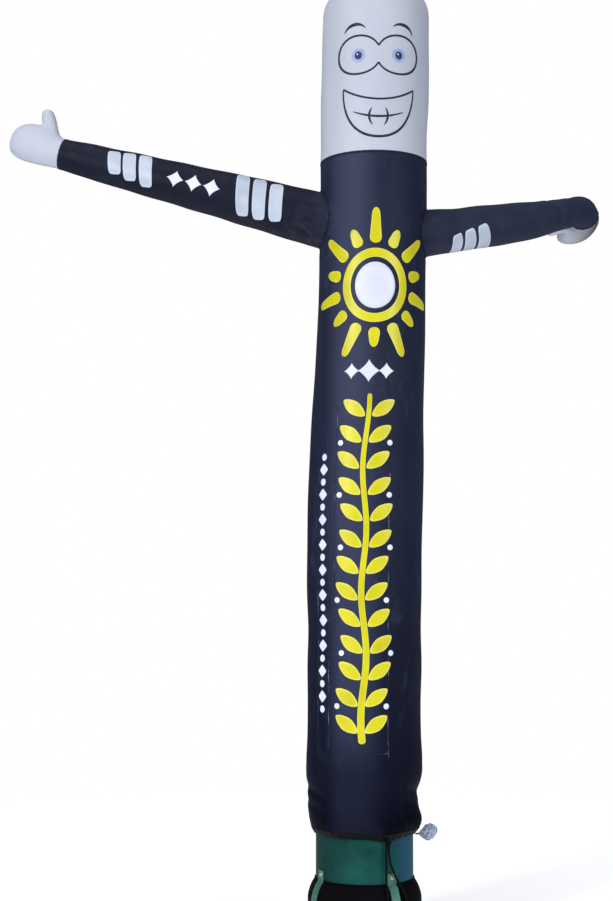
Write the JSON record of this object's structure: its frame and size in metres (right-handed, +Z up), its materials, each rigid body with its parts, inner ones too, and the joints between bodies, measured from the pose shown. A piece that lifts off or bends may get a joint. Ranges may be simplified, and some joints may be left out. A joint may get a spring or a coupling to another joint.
{
  "type": "inflatable air dancer on a blower",
  "caption": "Inflated cloth tube figure with a white head, tapered sleeves and white mittens, its hem tied round the drum of a blower that stands on the floor.",
  "frame": {"origin": "on the floor, in the middle of the flat underside of the fan housing", "axes": "+Z up along the blower's axis; the printed face looks along -Y; +X to the right of someone who faces it"},
  "size_m": [2.6552, 0.8897, 4.0687],
  "materials": {
    "navy_cloth": "satin",
    "white_cloth": "satin",
    "tie": "matte",
    "pale_tie": "satin",
    "green_paint": "satin",
    "bracket_paint": "matte",
    "black_paint": "satin",
    "yellow_vinyl": "satin",
    "white_vinyl": "satin",
    "face_print": "matte"
  },
  "bodies": {
    "root": {"body_tube": "navy_cloth", "head": "white_cloth", "sleeve_left": "navy_cloth", "sleeve_right": "navy_cloth", "mitten_left": "white_cloth", "mitten_right": "white_cloth", "tie_knot": "tie", "tail_straight": "tie", "tail_slanted": "tie", "tie_link": "tie", "tie_end": "pale_tie", "drum": "green_paint", "fan_housing": "black_paint", "bracket_1": "bracket_paint", "bracket_2": "bracket_paint", "bracket_3": "bracket_paint", "bracket_4": "bracket_paint"}
  },
  "joints": []
}
